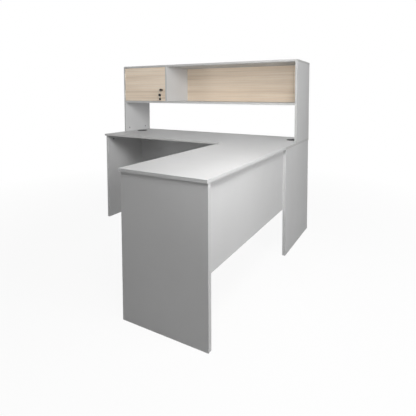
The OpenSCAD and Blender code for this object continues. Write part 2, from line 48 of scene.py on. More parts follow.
# A point this close to a plane counts as lying on it
NEAR = 0.02 * MM
# A face counts as square to an axis when its normal follows the axis at least this closely
SQUARE = 0.999


# Looks

# Sockets of a mix node that belong to colours: factor, first and second, and the result
COLOUR_MIX_IN = (0, 6, 7)
COLOUR_MIX_OUT = 2
# A noise pattern hardly leaves this stretch of 0..1
MID = (0.3, 0.7)
METAL_GRAIN = 90
PIT_GRAIN = 810
# Darker heart lines in the wood print: height, half width and strength of each
HEART_LINES = ((1.122, 0.015, 0.5), (1.262, 0.011, 0.3), (1.185, 0.02, 0.15))
HEART_WANDER = 0.008


def tint(code):
    """A colour written as six hex digits, as the linear values that Blender's sockets take."""
    channels = [int(code[i:i + 2], 16) / 255 for i in (0, 2, 4)]
    linear = [c / 12.92 if c <= 0.04045 else ((c + 0.055) / 1.055) ** 2.4 for c in channels]
    return (*linear, 1.0)


class Look:
    """A material whose colour, roughness and relief are built from patterns in the desk's own space."""

    def __init__(self, name, metallic=0.0, specular=0.5):
        self.material = bpy.data.materials.new(name)
        self.material.use_nodes = True
        self.tree = self.material.node_tree
        self.shader = self.tree.nodes["Principled BSDF"]
        self.shader.inputs["Metallic"].default_value = metallic
        self.shader.inputs["Specular IOR Level"].default_value = specular
        self.place = self.tree.nodes.new("ShaderNodeTexCoord").outputs["Object"]

    def link(self, source, target):
        self.tree.links.new(source, target)

    def feed(self, value, socket):
        """Gives a socket a fixed value, or the output of another node."""
        if isinstance(value, (int, float, tuple)):
            socket.default_value = value
        else:
            self.link(value, socket)

    def stretched(self, scale, turn=(0, 0, 0)):
        """The desk's space, squeezed or turned so that a pattern runs along the grain."""
        node = self.tree.nodes.new("ShaderNodeMapping")
        node.inputs["Rotation"].default_value = turn
        node.inputs["Scale"].default_value = scale
        self.link(self.place, node.inputs["Vector"])
        return node.outputs["Vector"]

    def noise(self, scale, detail=3, rough=0.5, warp=0.0, where=None):
        """Soft random clouds, the finer the higher the scale."""
        node = self.tree.nodes.new("ShaderNodeTexNoise")
        node.inputs["Scale"].default_value = scale
        node.inputs["Detail"].default_value = detail
        node.inputs["Roughness"].default_value = rough
        node.inputs["Distortion"].default_value = warp
        self.link(where or self.place, node.inputs["Vector"])
        return node.outputs["Fac"]

    def cells(self, scale):
        """Patches that each have a random colour."""
        node = self.tree.nodes.new("ShaderNodeTexVoronoi")
        node.inputs["Scale"].default_value = scale
        self.link(self.place, node.inputs["Vector"])
        return node.outputs["Color"]

    def level_waves(self, scale, warp, detail, where):
        """Bands that lie level and are bent by noise."""
        node = self.tree.nodes.new("ShaderNodeTexWave")
        node.bands_direction = "Z"
        node.inputs["Scale"].default_value = scale
        node.inputs["Distortion"].default_value = warp
        node.inputs["Detail"].default_value = detail
        self.link(where, node.inputs["Vector"])
        return node.outputs["Fac"]

    def spread(self, value, low, high, start=0.0, stop=1.0):
        """A value from start..stop laid out over low..high."""
        node = self.tree.nodes.new("ShaderNodeMapRange")
        node.inputs["From Min"].default_value = start
        node.inputs["From Max"].default_value = stop
        node.inputs["To Min"].default_value = low
        node.inputs["To Max"].default_value = high
        self.link(value, node.inputs["Value"])
        return node.outputs["Result"]

    def blend(self, factor, first, second):
        """Two colours mixed by a factor."""
        node = self.tree.nodes.new("ShaderNodeMix")
        node.data_type = "RGBA"
        for value, socket in zip((factor, first, second), COLOUR_MIX_IN):
            self.feed(value, node.inputs[socket])
        return node.outputs[COLOUR_MIX_OUT]

    def combine(self, kind, first, second):
        """Two values put together by one step of arithmetic."""
        node = self.tree.nodes.new("ShaderNodeMath")
        node.operation = kind
        self.feed(first, node.inputs[0])
        self.feed(second, node.inputs[1])
        return node.outputs[0]

    def level_line(self, height, half_width, wander):
        """1 along a level line that wanders a little up and down, falling to 0 beside it."""
        parts = self.tree.nodes.new("ShaderNodeSeparateXYZ")
        self.link(self.place, parts.inputs[0])
        drift = self.noise(1.0, detail=2, where=self.stretched((2.4, 1, 1)))
        sway = self.spread(drift, -wander, wander, *MID)
        off = self.combine("SUBTRACT", self.combine("ADD", parts.outputs["Z"], sway), height)
        return self.spread(self.combine("ABSOLUTE", off, 0), 1, 0, 0, half_width)

    def colour(self, source):
        self.link(source, self.shader.inputs["Base Color"])

    def roughness(self, source):
        self.link(source, self.shader.inputs["Roughness"])

    def relief(self, height, depth, strength):
        """Fine surface grain of a given depth."""
        node = self.tree.nodes.new("ShaderNodeBump")
        node.inputs["Distance"].default_value = depth
        node.inputs["Strength"].default_value = strength
        self.link(height, node.inputs["Height"])
        self.link(node.outputs["Normal"], self.shader.inputs["Normal"])


def grey_melamine():
    """Pressed light grey facing: a fine pearl texture, faint clouds and a few dull scuffs."""
    look = Look("light grey melamine facing", specular=0.4)
    clouds = look.noise(2.2, detail=4)
    pearl = look.noise(1400, detail=2)
    rubbed = look.stretched((1, 1.6, 1.2), turn=(0.4, 0.3, 0.5))
    scuffs = look.noise(7, detail=5, rough=0.6, where=rubbed)
    tone = look.blend(look.spread(clouds, 0, 1, *MID), tint("CACACA"), tint("D0D0D0"))
    specks = look.spread(pearl, 0, 1, 0.35, 0.65)
    look.colour(look.blend(0.06, tone, look.blend(specks, tint("B4B4B4"), tint("E6E6E6"))))
    shine = look.spread(scuffs, 0.51, 0.6, 0.3, 0.75)
    look.roughness(look.combine("ADD", shine, look.spread(pearl, -0.03, 0.03)))
    look.relief(pearl, 0.06 * MM, 0.35)
    return look.material


def grey_edge_band(name, dark, light):
    """Plastic strip ironed on to the board edges: smoother than the facing, faintly drawn lengthwise."""
    look = Look(name, specular=0.4)
    drawn = look.noise(60, detail=4, where=look.stretched((1, 1, 14)))
    nicks = look.noise(240, detail=3)
    tone = look.blend(look.spread(drawn, 0, 1, *MID), tint(dark), tint(light))
    look.colour(look.blend(look.spread(nicks, 0, 0.25, 0.62, 0.8), tone, tint(dark)))
    look.roughness(look.spread(drawn, 0.44, 0.5, *MID))
    look.relief(drawn, 0.03 * MM, 0.3)
    return look.material


def wood_melamine():
    """Printed pale oak: level bands that swell and fade, heart lines, streaks and pores, all along X."""
    look = Look("pale oak-look melamine", specular=0.35)
    bands = look.noise(1.0, detail=4, rough=0.55, warp=0.35, where=look.stretched((0.9, 1.0, 22)))
    figure = look.level_waves(1.6, 5.0, 3, look.stretched((0.35, 1.0, 9.5)))
    sweep = look.noise(1.0, detail=3, warp=0.25, where=look.stretched((0.9, 3.0, 72)))
    streaks = look.noise(1.0, detail=5, rough=0.7, where=look.stretched((5, 60, 240)))
    pores = look.noise(1.0, detail=2, rough=0.4, where=look.stretched((28, 90, 900)))
    tone = look.blend(look.spread(bands, 0, 1, *MID), tint("E0CFBB"), tint("F2E5D3"))
    tone = look.blend(look.spread(figure, 0, 0.35, 0.2, 0.95), tone, tint("E9CFB2"))
    tone = look.blend(look.spread(sweep, 0, 0.9, 0.55, 0.7), tone, tint("D2C0AA"))
    for height, half_width, strength in HEART_LINES:
        line = look.level_line(height, half_width, HEART_WANDER)
        tone = look.blend(look.combine("MULTIPLY", line, strength), tone, tint("CBB59D"))
    tone = look.blend(look.spread(streaks, 0, 0.4, 0.48, 0.78), tone, tint("CFBBA6"))
    flecks = look.spread(pores, 0, 0.45, 0.62, 0.8)
    look.colour(look.blend(flecks, tone, tint("B19E88")))
    look.roughness(look.spread(streaks, 0.46, 0.58, *MID))
    height = look.combine("ADD", look.spread(flecks, 1, 0), look.spread(streaks, 0, 0.3))
    look.relief(height, 0.05 * MM, 0.5)
    return look.material


def chipboard():
    """Raw core seen in bores: pressed wood chips of many browns."""
    look = Look("raw chipboard core", specular=0.2)
    chips = look.cells(420)
    dust = look.noise(900, detail=4, rough=0.7)
    tone = look.blend(look.spread(chips, 0, 1), tint("A98A63"), tint("CDB28A"))
    look.colour(look.blend(look.spread(dust, 0, 0.6, 0.4, 0.7), tone, tint("80633F")))
    look.roughness(look.spread(dust, 0.85, 1.0))
    look.relief(dust, 0.4 * MM, 0.8)
    return look.material


def metal(name, dark, light, rough, pits, brushed=(1, 1, 1)):
    """Bare or plated metal with a drawn or cast surface."""
    look = Look(name, metallic=1.0)
    drawn = look.noise(METAL_GRAIN, detail=5, rough=0.6, where=look.stretched(brushed))
    spots = look.noise(PIT_GRAIN, detail=2)
    tone = look.blend(look.spread(drawn, 0, 1, *MID), tint(dark), tint(light))
    look.colour(look.blend(look.spread(spots, 0, pits, 0.55, 0.8), tone, tint(dark)))
    look.roughness(look.spread(drawn, rough - 0.07, rough + 0.09, 0.25, 0.75))
    look.relief(look.combine("ADD", drawn, look.spread(spots, 0, 0.4)), 0.04 * MM, 0.5)
    return look.material


def black_plastic():
    """Moulded black plastic with a spark-eroded grain and a little dust."""
    look = Look("black moulded plastic", specular=0.2)
    grain = look.noise(2600, detail=2)
    dust = look.noise(40, detail=5, rough=0.7)
    look.colour(look.blend(look.spread(dust, 0, 0.3, 0.5, 0.85), tint("0C0C0D"), tint("202020")))
    look.roughness(look.spread(grain, 0.46, 0.62, *MID))
    look.relief(grain, 0.05 * MM, 0.6)
    return look.material


def beech():
    """Plain beech dowel with its fibre along Z."""
    look = Look("plain beech", specular=0.3)
    fibre = look.noise(300, detail=4, where=look.stretched((1, 1, 0.2)))
    look.colour(look.blend(look.spread(fibre, 0, 1, *MID), tint("C39A68"), tint("DDBB8C")))
    look.roughness(look.spread(fibre, 0.55, 0.7))
    look.relief(fibre, 0.1 * MM, 0.5)
    return look.material


def milky_rubber():
    """Soft stick-on bumper."""
    look = Look("milky bumper rubber", specular=0.4)
    haze = look.noise(500, detail=3)
    look.colour(look.blend(look.spread(haze, 0, 1, *MID), tint("C9CAC2"), tint("DCDDD6")))
    look.roughness(look.spread(haze, 0.35, 0.5))
    look.relief(haze, 0.05 * MM, 0.4)
    return look.material


FACING = grey_melamine()
BAND = grey_edge_band("light grey edge band", "C6C6C6", "CFCFCF")
# A darker copy of the same grey band for the long top and hutch: painted shade, standing in for the
# dimmer light on these edges
SHADED_BAND = grey_edge_band("edge band of the long top and hutch", "B9B9B8", "BEBEBD")
WOOD = wood_melamine()
CORE = chipboard()
CAST_ZINC = metal("dull cast zinc", "85868A", "9B9CA0", 0.5, 0.5)
ZINC_PLATE = metal("zinc plated steel", "8F9296", "B3B6BA", 0.34, 0.3, brushed=(1, 6, 1))
NICKEL = metal("nickel plate", "A9A69F", "C6C3BC", 0.3, 0.15, brushed=(1, 1, 5))
DARK_NICKEL = metal("dark nickel plate", "3A322A", "51473C", 0.42, 0.2, brushed=(5, 1, 1))
PLASTIC = black_plastic()
BEECH = beech()
RUBBER = milky_rubber()


# Modelling by hand

# Corners closer than this are one corner, in triangles from the frame and in new shapes
FRAME_MERGE = 0.002 * MM
SHAPE_MERGE = 0.001 * MM
# Triangles whose planes differ by less than this make one face
FLAT_ANGLE = math.radians(0.5)


def make_active(obj):
    bpy.ops.object.select_all(action="DESELECT")
    obj.select_set(True)
    bpy.context.view_layer.objects.active = obj


def edit(obj, kind="FACE"):
    """Opens obj in edit mode with nothing selected."""
    make_active(obj)
    bpy.ops.object.mode_set(mode="EDIT")
    bpy.ops.mesh.select_mode(type=kind)
    bpy.ops.mesh.select_all(action="DESELECT")


def edit_all(obj):
    """Opens obj in edit mode with all of it selected."""
    edit(obj)
    bpy.ops.mesh.select_all(action="SELECT")


def done():
    bpy.ops.object.mode_set(mode="OBJECT")


def pick_faces(obj, test):
    """Opens obj in edit mode with the faces selected that pass the test."""
    edit(obj, "FACE")
    done()
    for face in obj.data.polygons:
        face.select = test(face)
    bpy.ops.object.mode_set(mode="EDIT")


def pick_edges(obj, test):
    """Opens obj in edit mode with the edges selected whose two ends pass the test."""
    edit(obj, "EDGE")
    done()
    for edge in obj.data.edges:
        edge.select = test(*(obj.data.vertices[i].co for i in edge.vertices))
    bpy.ops.object.mode_set(mode="EDIT")


def apply_last(piece):
    """Applies the modifier that was added last."""
    bpy.ops.object.modifier_apply(modifier=piece.modifiers[-1].name)


def settle(obj):
    """Applies the object's place to its mesh, so that it sits at the origin unturned."""
    make_active(obj)
    bpy.ops.object.transform_apply(location=True, rotation=True, scale=True)


def block(middle, size, turned=(0, 0, 0)):
    """A box of a given size, turned about its middle."""
    bpy.ops.object.select_all(action="DESELECT")
    bpy.ops.mesh.primitive_cube_add(size=1, location=middle, rotation=turned)
    shape = bpy.context.object
    shape.scale = size
    settle(shape)
    return shape


def drum(middle, radius, depth, sides, turned=(0, 0, 0)):
    """A round bar that stands upright unless it is turned."""
    bpy.ops.object.select_all(action="DESELECT")
    bpy.ops.mesh.primitive_cylinder_add(
        vertices=sides, radius=radius, depth=depth, location=middle, rotation=turned)
    shape = bpy.context.object
    settle(shape)
    return shape


def boolean(piece, other, kind):
    """Cuts one closed shape out of another or joins the two, and deletes the other."""
    make_active(piece)
    bpy.ops.object.modifier_add(type="BOOLEAN")
    change = piece.modifiers[-1]
    change.operation = kind
    change.solver = "EXACT"
    change.object = other
    apply_last(piece)
    bpy.data.objects.remove(other, do_unlink=True)


def cut_away(piece, cutter):
    boolean(piece, cutter, "DIFFERENCE")


def extent(node):
    """Lowest corner, highest corner and middle of a frame node."""
    low, high = (Vector(corner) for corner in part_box(node))
    return low, high, (low + high) / 2


def merged_copy(node):
    """A copy of a frame node with its loose triangles joined into whole faces."""
    piece = bpy.data.objects.new(node + "_piece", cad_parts[node].data.copy())
    bpy.context.scene.collection.objects.link(piece)
    edit_all(piece)
    bpy.ops.mesh.remove_doubles(threshold=FRAME_MERGE)
    bpy.ops.mesh.dissolve_limited(angle_limit=FLAT_ANGLE)
    done()
    return piece


def solids_of(node):
    """Lowest and highest corner of each separate solid in a frame node."""
    copy = merged_copy(node)
    edit_all(copy)
    bpy.ops.mesh.separate(type="LOOSE")
    done()
    boxes = []
    for part in list(bpy.context.selected_objects):
        corners = [v.co for v in part.data.vertices]
        low = Vector([min(c[i] for c in corners) for i in range(3)])
        high = Vector([max(c[i] for c in corners) for i in range(3)])
        boxes.append((low, high))
        bpy.data.objects.remove(part, do_unlink=True)
    return sorted(boxes, key=lambda b: tuple(round(v, 6) for v in b[0]))


def smooth(piece, angle):
    """Smooth round parts and crisp flats."""
    make_active(piece)
    bpy.ops.object.shade_smooth_by_angle(angle=math.radians(angle))
    bpy.ops.object.modifier_add(type="WEIGHTED_NORMAL")
    piece.modifiers[-1].keep_sharp = True
    apply_last(piece)


def wear(piece, *looks):
    piece.data.materials.clear()
    for look in looks:
        piece.data.materials.append(look)


def finish(piece, body, slot, *nodes):
    """Fixes a piece to its body and lets it stand for the frame's nodes."""
    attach(piece, body)
    if nodes:
        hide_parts(*nodes)


def complete(piece, node, body, look, slot, angle=40):
    """Gives a piece of one material its look, its smooth rounds, its name and its place in the part."""
    wear(piece, look)
    smooth(piece, angle)
    piece.name = node + "_piece"
    finish(piece, body, slot, node)


# Boards

# Rounding of an edge band, and of a board edge that butts tight against another board
BAND_ROUND = 0.9 * MM
BUTT_ROUND = 0.15 * MM
# Faces whose middle lies this close to the board's rim belong to the edge band
RIM = BAND_ROUND * 1.05
BOARD_SMOOTH = 46


def split_edges(piece, node, butts):
    """Cuts across the board where a butting stretch of its edge starts or stops."""
    low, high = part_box(node)
    for _, _, along, *ends in butts:
        for end in ends:
            if low[along] + NEAR < end < high[along] - NEAR:
                edit_all(piece)
                point = [0.0, 0.0, 0.0]
                point[along] = end
                bpy.ops.mesh.bisect(plane_co=point, plane_no=AXES[along])
                done()


def round_edges(piece, node, butts):
    """Rounds the board's outer edges, those that butt against another board hardly at all."""
    low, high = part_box(node)

    def sides_at(point):
        return {i for i in range(3) if min(abs(point[i] - low[i]), abs(point[i] - high[i])) < NEAR}

    def is_outer(a, b):
        return len(sides_at(a) & sides_at(b)) >= 2 and (a - b).length > 2 * BAND_ROUND

    def is_butt(a, b):
        middle = (a + b) / 2
        return any(
            abs(middle[axis] - place) < NEAR and start < middle[along] < stop
            for axis, place, along, start, stop in butts)

    pick_edges(piece, lambda a, b: is_outer(a, b) and not is_butt(a, b))
    bpy.ops.mesh.bevel(offset=BAND_ROUND, segments=3, profile=0.5, affect="EDGES", clamp_overlap=False)
    done()
    if butts:
        pick_edges(piece, lambda a, b: is_outer(a, b) and is_butt(a, b))
        bpy.ops.mesh.bevel(offset=BUTT_ROUND, segments=1, affect="EDGES", clamp_overlap=False)
        done()


def face_board(piece, node, thin, face_look, band_look):
    """Facing on the two broad sides, band round the rim and raw core in the bores."""
    low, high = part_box(node)
    wear(piece, face_look, band_look, CORE)
    facing, band, core = range(3)
    for face in piece.data.polygons:
        middle = face.center
        on_face = min(abs(middle[thin] - low[thin]), abs(middle[thin] - high[thin])) < NEAR
        at_rim = any(
            middle[i] - low[i] < RIM or high[i] - middle[i] < RIM for i in range(3) if i != thin)
        if on_face and abs(face.normal[thin]) > SQUARE:
            face.material_index = facing
        else:
            face.material_index = band if at_rim else core


def board(node, thin, face_look, band_look, slot, body="desk", butts=()):
    """A faced board: the frame's own shape with rounded edge bands and raw core in its bores.

    thin is the axis across the board. Each of butts is a stretch of edge that butts tight against
    another board, as the axis it is square to, its place on that axis, the axis that it runs along,
    and where it starts and stops.
    """
    piece = merged_copy(node)
    split_edges(piece, node, butts)
    round_edges(piece, node, butts)
    face_board(piece, node, thin, face_look, band_look)
    smooth(piece, BOARD_SMOOTH)
    finish(piece, body, slot, node)


def all_boards():
    joint_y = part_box("return_top")[1][Y]
    return_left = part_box("return_top")[0][X]
    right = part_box("main_top")[1][X]
    top_butt = (Y, joint_y, X, return_left, right)
    # The long top and hutch take the darker band copy, which is painted shade
    grey = (FACING, BAND, "grey_melamine")
    shaded_grey = (FACING, SHADED_BAND, "grey_melamine")
    wood = (WOOD, WOOD, "wood_melamine")
    board("main_top", Z, *shaded_grey, butts=[top_butt])
    board("return_top", Z, *grey, butts=[top_butt])
    for node in ("left_end_panel", "right_end_panel", "return_modesty_panel"):
        board(node, X, *grey)
    for node in ("hutch_left_side", "hutch_right_side", "hutch_divider"):
        board(node, X, *shaded_grey)
    for node in ("return_end_panel", "main_modesty_panel"):
        board(node, Y, *grey)
    for node in ("hutch_top", "hutch_bottom"):
        board(node, Z, *shaded_grey)
    board("hutch_back", Y, *wood)
    board("cabinet_door", Y, *wood, body="door")


all_boards()


# Grommets

FLANGE_ROUND = 1.2 * MM
# Points this close to the flange's outer radius lie on its rim
FLANGE_RIM = 0.2 * MM
CAP_BORDER = 2.4 * MM
CAP_SINK = 0.5 * MM
CAP_SIDES = 96
# Half width of the strip in which the cap's cable notch lies
NOTCH_REACH = 14 * MM


def grommet_liner(node):
    """The sleeve in the top, its flange rounded at the rim."""
    low, high, middle = extent(node)
    rim = (high[X] - low[X]) / 2 - FLANGE_RIM
    piece = merged_copy(node)
    pick_edges(piece, lambda *ends: all(
        p[Z] > high[Z] - NEAR and (p.xy - middle.xy).length > rim for p in ends))
    bpy.ops.mesh.bevel(offset=FLANGE_ROUND, segments=4, affect="EDGES")
    done()
    complete(piece, node, "desk", PLASTIC, "black_plastic")


def sunk_field(node):
    """The cap's field as a shallow disc, stopping short of the rim and of the cable notch."""
    low, high, middle = extent(node)
    corners = [v.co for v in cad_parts[node].data.vertices if abs(v.co[X] - middle[X]) < NOTCH_REACH]
    notch_end = min(c[Y] for c in corners if c[Y] > middle[Y])
    notch_side = max(abs(c[X] - middle[X]) for c in corners)
    radius = (high[X] - low[X]) / 2 - CAP_BORDER
    field = drum((middle[X], middle[Y], high[Z]), radius, 2 * CAP_SINK, CAP_SIDES)
    start = notch_end - CAP_BORDER
    cut_away(field, block(
        (middle[X], (start + high[Y]) / 2, high[Z]),
        (2 * (notch_side + CAP_BORDER), high[Y] - start, 4 * CAP_SINK)))
    return field


def grommet_cap(node, body):
    """The loose cap: a shallow sunk field inside a border round its rim and its cable notch."""
    piece = merged_copy(node)
    cut_away(piece, sunk_field(node))
    complete(piece, node, body, PLASTIC, "black_plastic")


for side in ("left", "right"):
    grommet_liner("grommet_liner_" + side)
    grommet_cap("grommet_cap_" + side, "cap_" + side)


# Lock, keys and ring

# Edges sharper than this are broken by a small round
SHARP_ANGLE = math.radians(50)
# Key heads: thickness, round of the rim, and the sunk grip field with its border and slope
KEY_HEAD_T = 2.8 * MM
KEY_HEAD_ROUND = 0.6 * MM
KEY_HEAD_SIDES = 64
GRIP_BORDER = 1.2 * MM
GRIP_SLOPE = 0.3 * MM
GRIP_SINK = 0.35 * MM
# The eye for the ring, and how far it lies from the head's middle
KEY_EYE_R = 3 * MM
KEY_EYE_IN = 6 * MM
KEY_EYE_SIDES = 40
# Longer than any key head is thick
EYE_CUT = 10 * MM
# Key blades: their section, the cuts of the bitting and the milled groove
BLADE_T = 2 * MM
BLADE_W = 8 * MM
BITTING = [depth * MM for depth in (0.9, 1.4, 0.7, 1.2)]
FIRST_CUT = 3.0 * MM
CUT_STEP = 2.6 * MM
CUT_WIDE = 4 * MM
# Side of the square, stood on its corner, that cuts in by 1
CUT_SIDE = 1.4
GROOVE_DEEP = 0.4 * MM
GROOVE_W = 1.6 * MM
GROOVE_OFF = 0.8 * MM
# Longer than the blade, so that it leaves both ends open
GROOVE_LONG = 1.2
# Split ring: its turns, and the wire's section against a quarter of the ring's thickness
RING_TURNS = 1.94
RING_STEPS = 150
WIRE_WIDE = 1.8
WIRE_THICK = 0.94
WIRE_SIDES = 14
# The hanging key and tag hang turned this far from straight
HANG_TURN = math.radians(-30)


def rounded(node, body, look, slot, width, segments=2):
    """A frame node whose sharp edges are all broken by the same small round."""
    piece = merged_copy(node)
    make_active(piece)
    bpy.ops.object.modifier_add(type="BEVEL")
    change = piece.modifiers[-1]
    change.limit_method = "ANGLE"
    change.angle_limit = SHARP_ANGLE
    change.width = width
    change.segments = segments
    apply_last(piece)
    complete(piece, node, body, look, slot)


def turn(piece, pivot, angle):
    """Turns a piece about an upright line through the pivot."""
    away = Matrix.Translation(pivot) @ Matrix.Rotation(angle, 4, "Z") @ Matrix.Translation(-pivot)
    piece.matrix_world = away @ piece.matrix_world
    settle(piece)


def key_head(node, body, eye_shift, angle=0.0):
    """A moulded key head: a disc with a sunk grip field on both faces and an eye for the ring."""
    low, high, middle = extent(node)
    sideways = (0, QUARTER, 0)
    piece = drum(middle, (high[Z] - low[Z]) / 2, KEY_HEAD_T, KEY_HEAD_SIDES, sideways)
    pick_edges(piece, lambda a, b: abs(a[X] - b[X]) < NEAR)
    bpy.ops.mesh.bevel(offset=KEY_HEAD_ROUND, segments=3, affect="EDGES")
    done()
    pick_faces(piece, lambda f: abs(f.normal[X]) > SQUARE)
    bpy.ops.mesh.inset(thickness=GRIP_BORDER, depth=0)
    bpy.ops.mesh.inset(thickness=GRIP_SLOPE, depth=-GRIP_SINK)
    done()
    cut_away(piece, drum(middle + Vector(eye_shift), KEY_EYE_R, EYE_CUT, KEY_EYE_SIDES, sideways))
    turn(piece, middle, angle)
    complete(piece, node, body, PLASTIC, "black_plastic")


def cut_bitting(piece, middle, along, across, tip, inward):
    """V cuts of different depths into both edges of a blade, counted from its tip."""
    for side in (-1, 1):
        for i, depth in enumerate(BITTING):
            spot = middle.copy()
            spot[across] += side * BLADE_W / 2
            spot[along] = tip + inward * (FIRST_CUT + CUT_STEP * i)
            size = (CUT_WIDE, depth * CUT_SIDE, depth * CUT_SIDE)
            cut_away(piece, block(spot, size, (QUARTER / 2, 0, 0)))


def cut_grooves(piece, middle, along, across, length):
    """A milled groove along both faces of a blade."""
    for side in (-1, 1):
        spot = middle.copy()
        spot[X] += side * BLADE_T / 2
        spot[across] += GROOVE_OFF
        size = Vector((2 * GROOVE_DEEP, GROOVE_W, GROOVE_W))
        size[along] = length * GROOVE_LONG
        cut_away(piece, block(spot, size))


def key_blade(node, body, along, angle=0.0):
    """A flat blade with a milled groove on both faces and bitting cut into its edges at the free end.

    The blade in the lock runs along Y with its tip inward, the hanging one along Z with its tip down.
    """
    low, high, middle = extent(node)
    across = Z if along == Y else Y
    length = high[along] - low[along]
    size = Vector((BLADE_T, BLADE_T, BLADE_T))
    size[across] = BLADE_W
    size[along] = length
    piece = block(middle, size)
    tip, inward = (high[along], -1) if along == Y else (low[along], 1)
    cut_bitting(piece, middle, along, across, tip, inward)
    cut_grooves(piece, middle, along, across, length)
    turn(piece, middle, angle)
    complete(piece, node, body, NICKEL, "nickel_plate", 30)


def split_ring(node, body):
    """Two turns of flattened spring wire, coiled side by side."""
    low, high, middle = extent(node)
    wire = (high[Y] - low[Y]) / 4
    coil_radius = (high[X] - low[X]) / 2 - 2 * wire
    rise = wire * RING_TURNS
    bpy.ops.object.select_all(action="DESELECT")
    bpy.ops.mesh.primitive_circle_add(
        vertices=WIRE_SIDES, radius=1, location=(coil_radius, 0, -rise / 2), rotation=(QUARTER, 0, 0))
    piece = bpy.context.object
    piece.scale = (WIRE_WIDE * wire, WIRE_THICK * wire, 1)
    settle(piece)
    bpy.ops.object.modifier_add(type="SCREW")
    coil = piece.modifiers[-1]
    coil.angle = 2 * math.pi * RING_TURNS
    coil.screw_offset = rise
    coil.steps = RING_STEPS
    coil.render_steps = RING_STEPS
    apply_last(piece)
    edit_all(piece)
    bpy.ops.mesh.fill_holes(sides=0)
    done()
    piece.rotation_euler = (QUARTER, 0, 0)
    piece.location = middle
    settle(piece)
    edit_all(piece)
    bpy.ops.mesh.remove_doubles(threshold=SHAPE_MERGE)
    bpy.ops.mesh.normals_make_consistent(inside=False)
    done()
    complete(piece, node, body, NICKEL, "nickel_plate", 50)


key_head("inserted_key_head", "lock_core", (0, -KEY_EYE_IN, 0))
key_head("spare_key_head", "hanging_keys", (0, 0, KEY_EYE_IN), HANG_TURN)
key_blade("inserted_key_blade", "lock_core", Y)
key_blade("spare_key_blade", "hanging_keys", Z, HANG_TURN)
split_ring("key_ring", "ring")
rounded("key_tag", "hanging_keys", PLASTIC, "black_plastic", 0.35 * MM)
rounded("lock_housing", "door", DARK_NICKEL, "nickel_plate", 0.5 * MM, segments=3)
rounded("lock_plug", "lock_core", DARK_NICKEL, "nickel_plate", 0.2 * MM)
rounded("lock_nut", "door", ZINC_PLATE, "zinc_plated_steel", 0.3 * MM)
rounded("lock_cam", "lock_core", ZINC_PLATE, "zinc_plated_steel", 0.3 * MM)
rounded("cam_screw", "lock_core", ZINC_PLATE, "zinc_plated_steel", 0.3 * MM)
rounded("lock_strike", "desk", ZINC_PLATE, "zinc_plated_steel", 0.25 * MM)
rounded("door_bumper", "desk", RUBBER, "clear_rubber", 0.9 * MM, segments=4)
rounded("joining_plates", "desk", ZINC_PLATE, "zinc_plated_steel", 0.4 * MM)


# Fasteners

SCREW_HEAD = 3.6 * MM
SCREW_HEAD_HEIGHT = 2 * MM
SCREW_DOME = 1.1 * MM
SCREW_SHANK = 1.75 * MM
SCREW_TIP = 1.5 * MM
# How far the tip narrows
TIP_SHARE = 0.25
SLOT_WIDE = 0.75 * MM
SLOT_LONG = 3.96 * MM
HEAD_SIDES = 32
SHANK_SIDES = 20
# Each screw node, and the way that its heads point
SCREWS = (("plate_screws", (0, 0, -1)), ("lap_screws", (-1, 0, 0)), ("strike_screws", (-1, 0, 0)))


def screw_head():
    """A domed head standing on the origin with a cross recess of two slots."""
    head = drum((0, 0, SCREW_HEAD_HEIGHT / 2), SCREW_HEAD, SCREW_HEAD_HEIGHT, HEAD_SIDES)
    pick_edges(head, lambda a, b: min(a[Z], b[Z]) > SCREW_HEAD_HEIGHT - NEAR)
    bpy.ops.mesh.bevel(offset=SCREW_DOME, segments=4, affect="EDGES")
    done()
    for angle in (0, QUARTER):
        size = (SLOT_LONG, SLOT_WIDE, SCREW_HEAD_HEIGHT)
        cut_away(head, block((0, 0, SCREW_HEAD_HEIGHT), size, (0, 0, angle)))
    return head


def pan_screw(length):
    """A pan-head screw with its head up, its shank running down from the origin to a short tip."""
    screw = screw_head()
    shaft = drum((0, 0, (SCREW_TIP - length) / 2), SCREW_SHANK, length - SCREW_TIP, SHANK_SIDES)
    pick_faces(shaft, lambda f: f.normal[Z] < -SQUARE)
    bpy.ops.mesh.extrude_region_move(TRANSFORM_OT_translate={"value": (0, 0, -SCREW_TIP)})
    bpy.ops.transform.resize(value=(TIP_SHARE, TIP_SHARE, 1), center_override=(0, 0, -length))
    done()
    boolean(screw, shaft, "UNION")
    return screw


def placed_copy(screw, low, high, head_end):
    """A copy of the screw in the place of one solid, its head at the end that the solid has it."""
    size = high - low
    along = max(range(3), key=lambda i: size[i])
    sign = head_end[along]
    copy = screw.copy()
    copy.data = screw.data.copy()
    bpy.context.scene.collection.objects.link(copy)
    copy.rotation_mode = "QUATERNION"
    copy.rotation_quaternion = (AXES[along] * sign).to_track_quat("Z", "Y")
    place = (low + high) / 2
    place[along] = (high[along] if sign > 0 else low[along]) - sign * SCREW_HEAD_HEIGHT
    copy.location = place
    settle(copy)
    return copy


def screws(node, head_end):
    """One modelled screw, copied to every solid of a node."""
    boxes = solids_of(node)
    low, high = boxes[0]
    screw = pan_screw(max(high - low) - SCREW_HEAD_HEIGHT)
    pieces = [placed_copy(screw, low, high, head_end) for low, high in boxes]
    bpy.data.objects.remove(screw, do_unlink=True)
    make_active(pieces[0])
    for piece in pieces:
        piece.select_set(True)
    bpy.ops.object.join()
    complete(bpy.context.object, node, "desk", ZINC_PLATE, "zinc_plated_steel")


for node, head_end in SCREWS:
    screws(node, head_end)

# Fittings that keep the frame's own shape
PLAIN_FINISHES = {
    "cam_housings": CAST_ZINC, "cam_bolts": ZINC_PLATE, "dowels": BEECH,
    "hinge_side_leaves": NICKEL, "hinge_door_leaves": NICKEL, "hinge_pins": ZINC_PLATE,
    "hinge_side_screws": NICKEL, "hinge_door_screws": NICKEL,
}
for node, look in PLAIN_FINISHES.items():
    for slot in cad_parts[node].material_slots:
        slot.material = look


# Floor and backdrop

WHITE = (1, 1, 1, 1)
# The floor as the camera sees it, and the dimmer floor that light bounces from
FLOOR_SEEN = (0.95, 0.95, 0.95, 1)
FLOOR_BOUNCE = (0.38, 0.38, 0.38, 1)
